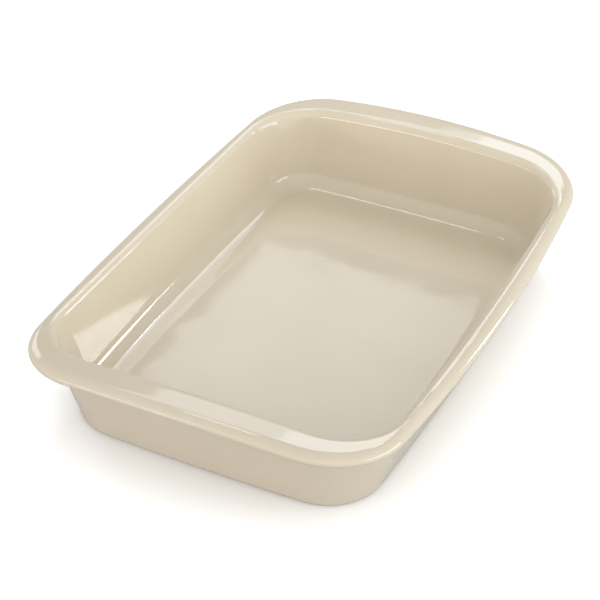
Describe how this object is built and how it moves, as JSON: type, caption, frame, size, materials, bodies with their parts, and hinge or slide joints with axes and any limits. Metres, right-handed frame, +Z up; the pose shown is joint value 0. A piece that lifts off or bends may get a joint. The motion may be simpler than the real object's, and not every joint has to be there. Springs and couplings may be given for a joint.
{
  "type": "lasagna dish",
  "caption": "Rectangular glazed stoneware baking dish with a deep drafted basin, rounded corners and a rim that widens into a grip at each end.",
  "frame": {"origin": "middle of the foot ring's flat underside, on the table plane", "axes": "+X along the length towards one grip, +Y across the width, +Z up out of the basin"},
  "size_m": [0.381, 0.259, 0.0687],
  "materials": {
    "fired_clay": "matt, bare fired stoneware",
    "liner_glaze": "high gloss, faintly uneven",
    "outer_glaze": "gloss, faintly uneven",
    "underside_glaze": "satin gloss"
  },
  "bodies": {
    "root": {"stoneware_body": "fired_clay", "liner_glaze": "liner_glaze", "outer_glaze": "outer_glaze", "underside_glaze": "underside_glaze"}
  },
  "joints": []
}
